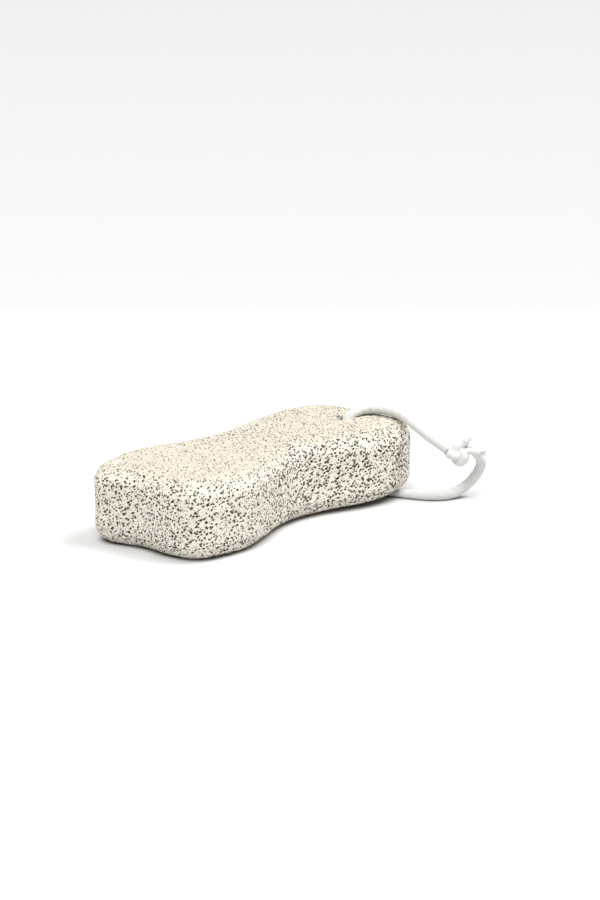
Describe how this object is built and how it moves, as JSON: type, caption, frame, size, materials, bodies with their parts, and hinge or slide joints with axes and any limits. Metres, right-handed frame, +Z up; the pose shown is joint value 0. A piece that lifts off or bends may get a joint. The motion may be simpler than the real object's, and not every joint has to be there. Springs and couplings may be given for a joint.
{
  "type": "pumice stone",
  "caption": "Waisted block of pale pumice with rounded edges, pitted all over, threaded near one end on a knotted loop of soft white cotton cord.",
  "frame": {"origin": "on the floor under the middle of the stone's box, with the cord left out", "axes": "+X along the stone towards the end with the cord's hole, +Y across it, +Z up out of its top face"},
  "size_m": [0.1171, 0.0623, 0.0284],
  "materials": {
    "pumice": "dry matt stone, full of small dark pores",
    "cotton_cord": "soft matt twisted cotton"
  },
  "bodies": {
    "root": {"pumice_stone": "pumice", "cord": "cotton_cord", "cord_knot": "cotton_cord"}
  },
  "joints": []
}
